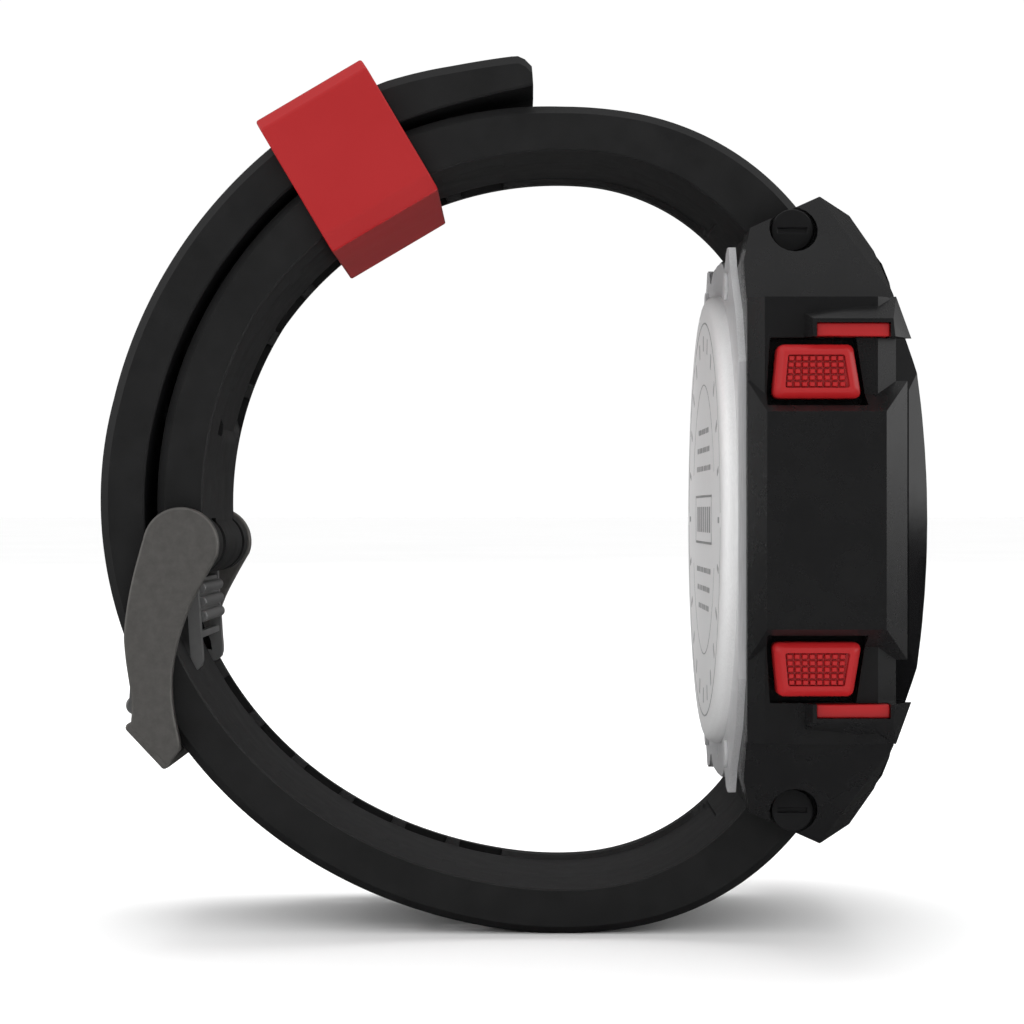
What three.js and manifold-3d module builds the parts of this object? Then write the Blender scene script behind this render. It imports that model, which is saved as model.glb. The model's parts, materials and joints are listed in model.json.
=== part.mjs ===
// A wrist-worn dive computer, closed on its strap as it is when worn.
//
// Frame, in millimetres: the origin is the centre of the case back's flat face, the face that
// rests on the wrist. +X comes out of the display, +Z points to 12 o'clock, where the buckle half
// of the strap is screwed on, and +Y points to 3 o'clock.

import * as THREE from 'three';
import { mergeVertices } from 'three/addons/utils/BufferGeometryUtils.js';
import { ConvexGeometry } from 'three/addons/geometries/ConvexGeometry.js';
import Module from 'manifold-3d';

const wasm = await Module();
wasm.setup();

// ---------------------------------------------------------------- driving dimensions

const DEGREE = Math.PI / 180;

// Case: stations along X, half sizes along Y and Z.
const PLATE_BACK = 1.2;
const CASE_BACK = 1.8;
const CASE_FRONT = 13.4;
const WALL_Y = 22.2;
const BODY_Z = 17.4;
const LUG_TIP_Z = 26.3;
const LUG_GAP_Y = 11.3;
const STRAP_SEAT_Z = 21.3;

// Raised side panel and the hoods over the buttons.
const PANEL_Y = 24;
const PANEL_Z = 8.4;
const HOOD_Y = 23.5;
const HOOD_Z = 14.2;

// Inside of the case.
const COVER_BORE_R = 16.5;
const BATTERY_R = 12.25;
const BATTERY_SPACE_R = 12.8;
const BULKHEAD_X = 5.8;
const MODULE_BACK = 6.4;
const MODULE_Y = 15.2;
const MODULE_Z = 12.7;
const LENS_SEAT_X = 11.9;

// Bezel and lens: their outer faces are arcs of large radius about the Y direction.
const BEZEL_BACK = 12.9;
const BEZEL_TOP = 16.35;
const LENS_TOP = 15.9;
const ARCH_RADIUS = 66;
const BEZEL_Y = 20.3;
const BEZEL_Z = 17.2;

// Buttons: the place of a button's axis, its travel, and the outer faces of its parts.
const BUTTON_X = 6.9;
const BUTTON_Z = 11.5;
const CAP_OUTER_Y = 23.9;
const CAP_INNER_Y = 21.3;
const RECESS_FLOOR_Y = 20;
const SPRING_SEAT_Y = 18.4;
const SEAL_SEAT_Y = 17.4;
const STEM_R = 0.9;

// Strap ring: both halves lie round this centre, and their angles run from +X towards +Z.
const RING = { x: -12.5, z: 0 };
const STRAP_Y = 11;
const STRAP_INNER_R = 30.3;
const STRAP_OUTER_R = 34.15;
const TAIL_INNER_R = 34.5;
const LUG_PIN = { x: 6, z: 23.4 };
const SLOT_Y = 7;
const SLOT_WIDTH = 2;
const SLOT_ARC = 3.9;
const SLOT_PITCH_ANGLE = 9.6;

// Buckle: everything in it turns on one pin.
const PIVOT = { x: -43.8, z: -2.05 };
const PIN_R = 0.75;
const FRAME_INNER_Y = 11.6;
const FRAME_OUTER_Y = 12.8;

// Keeper: a rectangular loop round both layers of the strap.
const KEEPER_ANGLE = 120.6;
const KEEPER_LENGTH = 10.1;
const KEEPER = { innerR: 28.5, outerR: 41.05, y: 12.3 };
const KEEPER_BORE = { innerR: 29.65, outerR: 39.45, y: 11.35 };

// ---------------------------------------------------------------- solids from three.js shapes

// A closed geometry as a solid that can be joined and cut.
function toSolid(geometry) {
  const bare = geometry.clone();
  bare.deleteAttribute('normal');
  bare.deleteAttribute('uv');
  const merged = mergeVertices(bare, 1e-4);
  const corners = merged.index.array;
  const triangles = [];
  for (let i = 0; i < corners.length; i += 3) {
    const [a, b, c] = [corners[i], corners[i + 1], corners[i + 2]];
    if (a !== b && b !== c && c !== a) {
      triangles.push(a, b, c);
    }
  }
  const mesh = new wasm.Mesh({
    numProp: 3,
    vertProperties: new Float32Array(merged.attributes.position.array),
    triVerts: new Uint32Array(triangles),
  });
  return new wasm.Manifold(mesh);
}

function toGeometry(solid) {
  const mesh = solid.getMesh();
  const geometry = new THREE.BufferGeometry();
  geometry.setAttribute('position', new THREE.BufferAttribute(mesh.vertProperties, 3));
  geometry.setIndex(new THREE.BufferAttribute(mesh.triVerts, 1));
  geometry.computeVertexNormals();
  return geometry;
}

const joined = (...solids) => solids.reduce((whole, solid) => whole.add(solid));
const cut = (solid, ...tools) => tools.reduce((rest, tool) => rest.subtract(tool), solid);

// The mirror image of a solid; each factor is 1 or -1.
function mirrored(solid, x, y, z) {
  const geometry = toGeometry(solid);
  geometry.scale(x, y, z);
  if (x * y * z < 0) {
    const corners = geometry.index.array;
    for (let i = 0; i < corners.length; i += 3) {
      [corners[i], corners[i + 1]] = [corners[i + 1], corners[i]];
    }
  }
  return toSolid(geometry);
}

// A solid joined with its mirror images across the planes Y = 0 and Z = 0.
function onFourCorners(solid) {
  const pair = joined(solid, mirrored(solid, 1, -1, 1));
  return joined(pair, mirrored(pair, 1, 1, -1));
}

// An outline is a three.js shape or a list of corners.
function prism(outline, depth, curveSegments = 8) {
  const isShape = outline instanceof THREE.Shape;
  const shape = isShape ? outline : new THREE.Shape(outline.map(([a, b]) => new THREE.Vector2(a, b)));
  return new THREE.ExtrudeGeometry(shape, { depth, bevelEnabled: false, curveSegments });
}

// A prism drawn in X and Z that fills y0 to y1.
function sidePrism(outline, y0, y1, curveSegments) {
  const geometry = prism(outline, y1 - y0, curveSegments);
  geometry.rotateX(Math.PI / 2);
  geometry.translate(0, y1, 0);
  return toSolid(geometry);
}

// A prism drawn in Y and Z that fills x0 to x1.
function frontPrism(outline, x0, x1, curveSegments) {
  const geometry = prism(outline, x1 - x0, curveSegments);
  const axes = [[0, 1, 0], [0, 0, 1], [1, 0, 0]].map((axis) => new THREE.Vector3(...axis));
  geometry.applyMatrix4(new THREE.Matrix4().makeBasis(...axes));
  geometry.translate(x0, 0, 0);
  return toSolid(geometry);
}

// A prism drawn in X and Y that fills z0 to z1.
function topPrism(outline, z0, z1) {
  const geometry = prism(outline, z1 - z0);
  geometry.translate(0, 0, z0);
  return toSolid(geometry);
}

function block([x0, x1], [y0, y1], [z0, z1]) {
  const geometry = new THREE.BoxGeometry(x1 - x0, y1 - y0, z1 - z0);
  geometry.translate((x0 + x1) / 2, (y0 + y1) / 2, (z0 + z1) / 2);
  return toSolid(geometry);
}

function rodY(radius, x, z, y0, y1, sides = 16) {
  const geometry = new THREE.CylinderGeometry(radius, radius, y1 - y0, sides);
  geometry.translate(x, (y0 + y1) / 2, z);
  return toSolid(geometry);
}

function rodX(radius, y, z, x0, x1, sides = 16) {
  const geometry = new THREE.CylinderGeometry(radius, radius, x1 - x0, sides);
  geometry.rotateZ(-Math.PI / 2);
  geometry.translate((x0 + x1) / 2, y, z);
  return toSolid(geometry);
}

// A turned solid about the X axis; its profile lists [radius, x] anticlockwise.
function turned(profile, sides = 40) {
  const geometry = new THREE.LatheGeometry(profile.map(([r, x]) => new THREE.Vector2(r, x)), sides);
  geometry.rotateZ(-Math.PI / 2);
  return toSolid(geometry);
}

function hull(points) {
  return toSolid(new ConvexGeometry(points.map((p) => new THREE.Vector3(...p))));
}

// A low frustum standing out along Y from one rectangle in X and Z to a smaller one.
function frustum([x0, x1, z0, z1], baseY, [topX0, topX1, topZ0, topZ1], topY) {
  const base = [[x0, z0], [x0, z1], [x1, z0], [x1, z1]].map(([x, z]) => [x, baseY, z]);
  const top = [[topX0, topZ0], [topX0, topZ1], [topX1, topZ0], [topX1, topZ1]];
  return hull([...base, ...top.map(([x, z]) => [x, topY, z])]);
}

// Takes away what lies beyond the plane through three points, on the side away from the origin.
function faceted(solid, a, b, c) {
  const reach = 60;
  const [pa, pb, pc] = [a, b, c].map((p) => new THREE.Vector3(...p));
  const plane = new THREE.Plane().setFromCoplanarPoints(pa, pb, pc);
  const outward = plane.constant > 0 ? plane.normal.clone().negate() : plane.normal.clone();
  const geometry = new THREE.BoxGeometry(reach, reach, reach);
  geometry.translate(0, 0, reach / 2);
  geometry.applyQuaternion(new THREE.Quaternion().setFromUnitVectors(new THREE.Vector3(0, 0, 1), outward));
  geometry.translate(pa.x, pa.y, pa.z);
  return solid.subtract(toSolid(geometry));
}

// The four-cornered outline of a rectangle with its corners cut off.
function octagon(halfA, halfB, cutA, cutB) {
  const quarter = [[halfA, halfB - cutB], [halfA - cutA, halfB]];
  const upper = [...quarter, ...quarter.map(([a, b]) => [-a, b]).reverse()];
  return [...upper, ...upper.map(([a, b]) => [a, -b]).reverse()];
}

// ---------------------------------------------------------------- finishes

function finish(color, roughness, metalness) {
  return () => new THREE.MeshStandardMaterial({ color, roughness, metalness });
}

const blackPlastic = finish(0x1c1c1e, 0.4, 0);
const glossBlack = finish(0x0c0c0d, 0.15, 0);
const rubber = finish(0x202021, 0.7, 0);
const redPlastic = finish(0xa52a2c, 0.3, 0);
const brushedSteel = finish(0xb8b8ba, 0.35, 1);
const darkSteel = finish(0x6a6866, 0.35, 1);
const springSteel = finish(0x9a9a9c, 0.3, 1);
const seal = finish(0x18181a, 0.8, 0);
const clearLens = finish(0x20242a, 0.05, 0);
const lcdGrey = finish(0x7d8a78, 0.3, 0);
const paleDiffuser = finish(0xd8e0dc, 0.5, 0);
const greyFrame = finish(0x8a8c8e, 0.6, 0);
const boardGreen = finish(0x1f5a34, 0.5, 0);
const brass = finish(0xb8964e, 0.35, 1);

const watch = new THREE.Group();

function addPiece(name, solid, material, parent = watch) {
  const mesh = new THREE.Mesh(toGeometry(solid), material());
  mesh.name = name;
  parent.add(mesh);
}

// ---------------------------------------------------------------- case

// The black body as one block of facets, before anything is hollowed out of it. Its upper half
// reaches a little past the middle, so that its mirror image overlaps it.
function caseBlock() {
  const low = -3;
  const lugBase = [20, BODY_Z];
  const lugTip = [13.6, LUG_TIP_Z];
  const quarter = [[WALL_Y, low], [WALL_Y, BODY_Z], lugBase, lugTip];
  const frontOutline = [...quarter, ...quarter.map(([y, z]) => [-y, z]).reverse()];
  const upperFront = frontPrism(frontOutline, CASE_BACK, CASE_FRONT);
  const sideOutline = [[CASE_BACK, low], [CASE_BACK, 20.6], [2.5, 23.5], [8.4, LUG_TIP_Z], [11.1, 25],
    [12.7, 21.8], [CASE_FRONT, 17.7], [CASE_FRONT, low]];
  const upperSide = sidePrism(sideOutline, -WALL_Y, WALL_Y);
  const topOutline = [[CASE_BACK, -20.6], [3, -WALL_Y], [11.8, -WALL_Y], [CASE_FRONT, -20.9],
    [CASE_FRONT, 20.9], [11.8, WALL_Y], [3, WALL_Y], [CASE_BACK, 20.6]];
  const topView = topPrism(topOutline, low, LUG_TIP_Z);
  let upper = upperFront.intersect(upperSide).intersect(topView);
  for (const side of [1, -1]) {
    upper = faceted(upper, [8.6, side * 13.6, 26], [13.3, side * 19.8, 17.8], [11, side * 11.6, 24.9]);
  }
  return joined(upper, mirrored(upper, 1, 1, -1));
}

// The raised middle of each side wall, with long bevels towards the back and the front.
function sidePanel() {
  return frustum([1.8, 14.3, -10.9, 10.9], 20.9, [3, 12.2, -PANEL_Z, PANEL_Z], PANEL_Y);
}

// The hood that overhangs one button, with the slot that its accent bar fills.
const ACCENT = { x: [6.9, 12.6], y: [21.2, 23.1], z: [HOOD_Z, 15.3] };

function hood() {
  const foot = [[5.6, HOOD_Z], [14.6, HOOD_Z], [13.4, 17.5], [5.6, 16.7]];
  const top = [[6.6, HOOD_Z], [12.95, HOOD_Z], [12.8, 15.6], [6.6, 15.6]];
  return hull([...foot.map(([x, z]) => [x, 21, z]), ...top.map(([x, z]) => [x, HOOD_Y, z])]);
}

function accentSlot() {
  return block(ACCENT.x, [ACCENT.y[0], HOOD_Y + 1], ACCENT.z);
}

// The recess round one button's cap, and the stepped bore for its spring, seal and stem.
const RECESS_OUTLINE = [[3.1, 8.9], [10.9, 8.9], [10.1, HOOD_Z], [3.4, HOOD_Z]];

function buttonBore() {
  const recess = sidePrism(RECESS_OUTLINE, RECESS_FLOOR_Y, PANEL_Y + 1);
  const springSeat = rodY(2.1, BUTTON_X, BUTTON_Z, SPRING_SEAT_Y, RECESS_FLOOR_Y + 1);
  const sealSeat = rodY(1.6, BUTTON_X, BUTTON_Z, SEAL_SEAT_Y, SPRING_SEAT_Y + 1);
  const bore = rodY(STEM_R + 0.1, BUTTON_X, BUTTON_Z, MODULE_Y - 1, SEAL_SEAT_Y + 1);
  const clipPocket = block([5, 8.8], [13.2, MODULE_Y], [9.6, MODULE_Z + 0.7]);
  return joined(recess, springSeat, sealSeat, bore, clipPocket);
}

// The gap between the two lugs at one end, where the strap's end sits.
function strapGap() {
  const outline = [[0, STRAP_SEAT_Z], [9.6, STRAP_SEAT_Z], [9.6, LUG_TIP_Z + 2], [0, LUG_TIP_Z + 2]];
  const lowApron = [[9, 22.4], [14, 22.4], [14, LUG_TIP_Z + 2], [9, LUG_TIP_Z + 2]];
  return joined(sidePrism(outline, -LUG_GAP_Y, LUG_GAP_Y), sidePrism(lowApron, -LUG_GAP_Y, LUG_GAP_Y));
}

// The strap screw's hole through a lug, with the round recess for its head.
function lugScrewHole() {
  const hole = rodY(0.65, LUG_PIN.x, LUG_PIN.z, LUG_GAP_Y - 1, 20);
  const recess = rodY(1.95, LUG_PIN.x, LUG_PIN.z, 14.2, 20, 20);
  return joined(hole, recess);
}

const BACK_SCREW = { y: 9.5, z: 19.4, headR: 1.15, shankR: 0.6, length: 3.6 };
const SENSOR = { z: -19, r: 1.5, back: 2, front: 5.2 };
const LENS_FLANGE = octagon(16.6, 14.1, 4.5, 4.5);
const MODULE_OPENING = octagon(MODULE_Y, MODULE_Z, 3.6, 3.6);

function caseInside() {
  const coverBore = rodX(COVER_BORE_R, 0, 0, CASE_BACK - 1, 3.1, 40);
  const batterySpace = rodX(BATTERY_SPACE_R, 0, 0, 2, BULKHEAD_X, 40);
  const contactWindow = block([BULKHEAD_X - 1, MODULE_BACK + 1], [-2, 2], [-3, 3]);
  const moduleSpace = frontPrism(MODULE_OPENING, MODULE_BACK, LENS_SEAT_X + 1);
  const lensSeat = frontPrism(LENS_FLANGE, LENS_SEAT_X, CASE_FRONT + 2);
  const bezelSeat = frontPrism(octagon(BEZEL_Y, BEZEL_Z, 5, 7), BEZEL_BACK, CASE_FRONT + 4);
  const sensorPocket = rodX(SENSOR.r + 0.2, 0, SENSOR.z, CASE_BACK - 1, SENSOR.front + 0.4);
  return joined(coverBore, batterySpace, contactWindow, moduleSpace, lensSeat, bezelSeat, sensorPocket);
}

const solidCase = caseBlock();

function caseBody() {
  const panel = sidePanel();
  const trimmed = joined(solidCase, panel, mirrored(panel, 1, -1, 1), onFourCorners(hood()));
  const gap = strapGap();
  const { y, z, shankR, length } = BACK_SCREW;
  const screwHole = rodX(shankR + 0.05, y, z, 0, CASE_BACK + length);
  const gaps = joined(gap, mirrored(gap, 1, 1, -1));
  const sideTools = [buttonBore(), accentSlot(), lugScrewHole(), screwHole].map(onFourCorners);
  return cut(trimmed, caseInside(), gaps, ...sideTools);
}

addPiece('case_body', caseBody(), blackPlastic);

// Accent bars fill the slots under the hoods.
const fourCorners = [
  { name: 'upper_left', y: -1, z: 1 },
  { name: 'upper_right', y: 1, z: 1 },
  { name: 'lower_left', y: -1, z: -1 },
  { name: 'lower_right', y: 1, z: -1 },
];

function accentBar() {
  return block(ACCENT.x, ACCENT.y, [ACCENT.z[0] + 0.05, ACCENT.z[1]]);
}

for (const corner of fourCorners) {
  addPiece(`accent_bar_${corner.name}`, mirrored(accentBar(), 1, corner.y, corner.z), redPlastic);
}

// ---------------------------------------------------------------- bezel, lens and display

// Everything below an arched outer face whose highest line is at X = top.
function underArch(top) {
  const halfAngle = 24 * DEGREE;
  const shape = new THREE.Shape();
  shape.moveTo(0, -28);
  shape.absarc(top - ARCH_RADIUS, 0, ARCH_RADIUS, -halfAngle, halfAngle, false);
  shape.lineTo(0, 28);
  return sidePrism(shape, -30, 30, 24);
}

function frontBezel() {
  const bevelTop = 17.9;
  const outline = octagon(BEZEL_Y, BEZEL_Z, 5, 7);
  const plate = frontPrism(outline, BEZEL_BACK, BEZEL_TOP + 1);
  const bevelled = topPrism([[BEZEL_BACK, -BEZEL_Y], [14.5, -BEZEL_Y], [BEZEL_TOP + 0.1, -bevelTop],
    [BEZEL_TOP + 0.1, bevelTop], [14.5, BEZEL_Y], [BEZEL_BACK, BEZEL_Y]], -BEZEL_Z, BEZEL_Z);
  const opening = frontPrism(octagon(15.6, 13.1, 4.3, 4.3), 0, BEZEL_TOP + 1);
  const tabOutline = [[12.5, 16.6], [14.1, 17], [14.5, 18], [14.2, 19.4], [13.6, 20.9], [13, 21.7],
    [12.3, 22]];
  const tab = cut(sidePrism(tabOutline, -12.5, 12.5), solidCase);
  const ring = cut(plate.intersect(bevelled).intersect(underArch(BEZEL_TOP)), opening);
  return joined(ring, tab, mirrored(tab, 1, 1, -1));
}

function displayLens() {
  const flange = frontPrism(octagon(16.5, 14, 4.5, 4.5), LENS_SEAT_X + 0.5, BEZEL_BACK);
  const window = frontPrism(octagon(15.5, 13, 4.3, 4.3), LENS_SEAT_X + 0.5, BEZEL_TOP);
  return joined(flange, window.intersect(underArch(LENS_TOP)));
}

function ringPlate(outer, inner, x0, x1) {
  return cut(frontPrism(outer, x0, x1), frontPrism(inner, x0 - 1, x1 + 1));
}

addPiece('front_bezel', frontBezel(), glossBlack);
addPiece('display_lens', displayLens(), clearLens);
const gasket = ringPlate(octagon(16.5, 14, 4.5, 4.5), MODULE_OPENING, LENS_SEAT_X, LENS_SEAT_X + 0.5);
addPiece('lens_gasket', gasket, seal);

// The module: a board at the back, a carrier frame, and in it the backlight, the panel and a mask.
const LAYERS = {
  board: [7.1, 7.9],
  frame: [7.9, 11.3],
  light: [8, 9],
  panel: [9.1, 10.9],
  mask: [11.3, 11.6],
};
const MODULE_OUTLINE = octagon(13, 12.3, 1.6, 1.6);
const SCREEN = octagon(11.8, 11, 0.6, 0.6);
const SCREEN_SPACE = octagon(11.9, 11.1, 0.6, 0.6);
const MASK_OPENING = octagon(11, 9.4, 1.5, 1.5);

addPiece('circuit_board', frontPrism(MODULE_OUTLINE, ...LAYERS.board), boardGreen);
addPiece('module_frame', ringPlate(MODULE_OUTLINE, SCREEN_SPACE, ...LAYERS.frame), greyFrame);
addPiece('backlight', frontPrism(SCREEN, ...LAYERS.light), paleDiffuser);
addPiece('lcd_panel', frontPrism(SCREEN, ...LAYERS.panel), lcdGrey);
addPiece('display_mask', ringPlate(MODULE_OUTLINE, MASK_OPENING, ...LAYERS.mask), glossBlack);
addPiece('buzzer', rodX(4.5, -7, 6, MODULE_BACK + 0.1, LAYERS.board[0], 32), brass);
addPiece('pressure_sensor', rodX(SENSOR.r, 0, SENSOR.z, SENSOR.back, SENSOR.front, 24), brushedSteel);

// ---------------------------------------------------------------- case back

// The steel plate: its ends are scalloped, and a small port lets water reach the depth sensor.
function backPlate() {
  const shape = new THREE.Shape();
  const quarter = [[19.6, 12.5], [17.2, 16.5], [12.6, 20.2], [11.2, 22]];
  const scallops = [[10.8, 22.45], [9.6, 22.5], [8.4, 22.2], [7.4, 21.2], [6.5, 21], [5.6, 21.5], [4, 21.9],
    [0, 22]];
  const half = [...quarter, ...scallops];
  shape.moveTo(...half[0]);
  for (const point of half.slice(1)) {
    shape.lineTo(...point);
  }
  const across = half.slice(0, -1).map(([y, z]) => [-y, z]).reverse();
  for (const point of across) {
    shape.lineTo(...point);
  }
  const below = [...half, ...across].map(([y, z]) => [y, -z]).reverse();
  for (const point of below) {
    shape.lineTo(...point);
  }
  const plate = frontPrism(shape, PLATE_BACK, CASE_BACK);
  const bore = rodX(COVER_BORE_R, 0, 0, 0, 3, 40);
  const screwHole = rodX(BACK_SCREW.shankR + 0.05, BACK_SCREW.y, BACK_SCREW.z, 0, 3);
  const port = rodX(0.45, 0, -20.2, 0, 3, 12);
  return cut(plate, bore, onFourCorners(screwHole), port);
}

const COVER = { flatR: 18.4, rimR: 19.3, bossR: 16.4, grooveR: 15.8, bossFront: 3, cupR: 12.8, cupX: 2.1 };
const GASKET = { r: 16.14, x: 2.3, thickness: 0.28 };

function batteryCover() {
  return turned([[0, 0], [COVER.flatR, 0], [18.85, 0.16], [19.2, 0.5], [COVER.rimR, 0.8],
    [COVER.rimR, PLATE_BACK], [COVER.bossR, PLATE_BACK], [COVER.bossR, GASKET.x - 0.32],
    [COVER.grooveR, GASKET.x - 0.32], [COVER.grooveR, GASKET.x + 0.32], [COVER.bossR, GASKET.x + 0.32],
    [COVER.bossR, COVER.bossFront], [COVER.cupR, COVER.bossFront], [COVER.cupR, COVER.cupX],
    [0, COVER.cupX]]);
}

function gasketRing() {
  const { r, x, thickness } = GASKET;
  const around = Array.from({ length: 7 }, (unused, i) => i * Math.PI / 3);
  return turned(around.map((a) => [r + thickness * Math.cos(a), x + thickness * Math.sin(a)]));
}

function contactClip() {
  const strip = block([5.4, 5.6], [-1.5, 1.5], [-11, 11]);
  const finger = block([5.5, LAYERS.board[0]], [-1, 1], [-1.5, 1.5]);
  return joined(strip, finger);
}

function backScrew() {
  const { y, z, headR, shankR, length } = BACK_SCREW;
  const head = rodX(headR, y, z, PLATE_BACK - 0.3, PLATE_BACK);
  const shank = rodX(shankR, y, z, PLATE_BACK - 0.2, CASE_BACK + length - 0.2);
  const drive = block([0, PLATE_BACK - 0.15], [y - 0.15, y + 0.15], [z - 0.8, z + 0.8]);
  return cut(joined(head, shank), drive);
}

addPiece('back_plate', backPlate(), brushedSteel);
addPiece('battery_cover', batteryCover(), brushedSteel);
addPiece('cover_gasket', gasketRing(), seal);
addPiece('battery', turned([[0, 2.2], [BATTERY_R - 0.9, 2.2], [BATTERY_R - 0.9, 2.5], [BATTERY_R, 2.7],
  [BATTERY_R, 5.1], [BATTERY_R - 0.3, 5.3], [0, 5.3]]), springSteel);
addPiece('battery_contact', contactClip(), springSteel);
for (const corner of fourCorners) {
  addPiece(`back_screw_${corner.name}`, mirrored(backScrew(), 1, corner.y, corner.z), brushedSteel);
}

// ---------------------------------------------------------------- buttons

// The cap's outline in X and Z about the button's axis: wider at the foot, slanted at the front.
const CAP_OUTLINE = [[-3.4, -2.1], [3.5, -2.1], [2.8, 2.1], [-3, 2.1]];

function buttonCap() {
  const inset = 0.45;
  const shrink = ([x, z]) => [x - Math.sign(x) * inset, z - Math.sign(z) * inset];
  const levels = [
    [CAP_OUTLINE, CAP_INNER_Y],
    [CAP_OUTLINE, CAP_OUTER_Y - 0.6],
    [CAP_OUTLINE.map(shrink), CAP_OUTER_Y],
  ];
  return hull(levels.flatMap(([outline, y]) => outline.map(([x, z]) => [x, y, z])));
}

function buttonStem() {
  const shaft = rodY(STEM_R, 0, 0, 14.5, CAP_INNER_Y);
  const groove = cut(rodY(2, 0, 0, 14.8, 15.1), rodY(0.6, 0, 0, 14, 16));
  return cut(shaft, groove);
}

function retainingClip() {
  const disc = cut(rodY(1.6, 0, 0, 14.85, 15.05), rodY(0.65, 0, 0, 14, 16));
  return cut(disc, block([-0.45, 0.45], [14, 16], [-2, 0]));
}

function stemSeal() {
  const geometry = new THREE.TorusGeometry(1.26, 0.28, 6, 16);
  geometry.rotateX(Math.PI / 2);
  geometry.translate(0, SEAL_SEAT_Y + 0.35, 0);
  return toSolid(geometry);
}

function returnSpring() {
  const [wireR, coilR, turns, stepsPerTurn] = [0.2, 1.82, 2, 12];
  const length = CAP_INNER_Y - SPRING_SEAT_Y - 2 * wireR - 0.1;
  const steps = turns * stepsPerTurn;
  const points = Array.from({ length: steps + 1 }, (unused, i) => {
    const angle = i / stepsPerTurn * 2 * Math.PI;
    const y = SPRING_SEAT_Y + 0.05 + wireR + length * i / steps;
    return new THREE.Vector3(coilR * Math.cos(angle), y, coilR * Math.sin(angle));
  });
  const wire = new THREE.Shape();
  wire.absarc(0, 0, wireR, 0, 2 * Math.PI, false);
  const extrudePath = new THREE.CatmullRomCurve3(points);
  const options = { steps, curveSegments: 3, bevelEnabled: false, extrudePath };
  return toSolid(new THREE.ExtrudeGeometry(wire, options));
}

const buttonPieces = [
  ['button_cap', buttonCap(), redPlastic],
  ['button_stem', buttonStem(), springSteel],
  ['button_clip', retainingClip(), springSteel],
  ['button_spring', returnSpring(), springSteel],
  ['button_seal', stemSeal(), seal],
];

for (const corner of fourCorners) {
  const place = new THREE.Group();
  place.position.set(BUTTON_X, 0, corner.z * BUTTON_Z);
  watch.add(place);
  for (const [name, solid, material] of buttonPieces) {
    addPiece(`${name}_${corner.name}`, mirrored(solid, 1, corner.y, corner.z), material, place);
  }
}

// ---------------------------------------------------------------- strap

const { clamp, lerp, smoothstep } = THREE.MathUtils;
const ramp = (angle, from, to, a, b) => lerp(a, b, clamp((angle - from) / (to - from), 0, 1));
const onRing = (radius, angle) => [
  RING.x + radius * Math.cos(angle * DEGREE),
  RING.z + radius * Math.sin(angle * DEGREE),
];

// How far the strap's two faces fall inside the ring near the lugs, where the strap straightens.
const lugFallInner = (fromLug) => 0.003 * Math.max(0, 86 - fromLug) ** 2;
const lugFallOuter = (fromLug) => 0.0026 * Math.max(0, 80 - fromLug) ** 2;

const upperInnerR = (angle) => ramp(angle, 145, 180, STRAP_INNER_R, 29.4) - lugFallInner(angle);

function upperOuterR(angle) {
  const rise = ramp(angle, 90, 112, 0, 0.45);
  const fall = ramp(angle, 130, 180, 0, 1.2);
  return STRAP_OUTER_R + rise - fall - lugFallOuter(angle);
}

// The hole half leaves its lug, spirals outwards past the buckle, and ends as the tail, whose tip
// lifts a little off the layer below.
const TAIL_TIP_ANGLE = 93.8;

function tailPath(angle) {
  const spiral = lerp(TAIL_INNER_R, STRAP_INNER_R, smoothstep(angle, 165, 262));
  const overKeeper = ramp(angle, 165, 128, 0, 0.7);
  const tipLift = 0.5 * ramp(angle, 104, TAIL_TIP_ANGLE, 0, 1) ** 1.5;
  return spiral + overKeeper + tipLift;
}

const lowerInnerR = (angle) => tailPath(angle) - lugFallInner(360 - angle);

function lowerOuterR(angle) {
  const thickness = STRAP_OUTER_R - STRAP_INNER_R;
  const thinning = ramp(angle, 112, TAIL_TIP_ANGLE, 0, 1);
  return tailPath(angle) + thickness - thinning - lugFallOuter(360 - angle);
}

function faceLine(radiusAt, from, to, step = 4) {
  const count = Math.ceil(Math.abs(to - from) / step);
  return Array.from({ length: count + 1 }, (unused, i) => {
    const angle = lerp(from, to, i / count);
    return onRing(radiusAt(angle), angle);
  });
}

// The strap's end between the lugs, drawn for the 12 o'clock end.
const LUG_ANGLE = 52;
const END_BLOCK = [[9.2, 23], [9.2, STRAP_SEAT_Z + 0.2], [2.6, STRAP_SEAT_Z + 0.2], [2.4, 23.3]];
const flipped = (outline) => outline.map(([x, z]) => [x, -z]);

// A slot through the strap at |Y| = SLOT_Y, with its middle at the given angle.
function slotPair(angle) {
  const radius = 34;
  const geometry = new THREE.BoxGeometry(12, SLOT_WIDTH, SLOT_ARC);
  geometry.translate(radius, SLOT_Y, 0);
  geometry.rotateY(-angle * DEGREE);
  geometry.translate(RING.x, 0, RING.z);
  const slot = toSolid(geometry);
  return joined(slot, mirrored(slot, 1, -1, 1));
}

// A shallow channel along the middle of the strap's inner face.
function innerChannel(radiusAt, from, to) {
  const depth = 0.5;
  const floor = faceLine((angle) => radiusAt(angle) + depth, from, to);
  const clear = faceLine((angle) => radiusAt(angle) - 2, to, from);
  return sidePrism([...floor, ...clear], -5.4, 5.4);
}

const pinHole = (z) => rodY(1.15, LUG_PIN.x, z, -STRAP_Y - 1, STRAP_Y + 1, 24);

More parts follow.
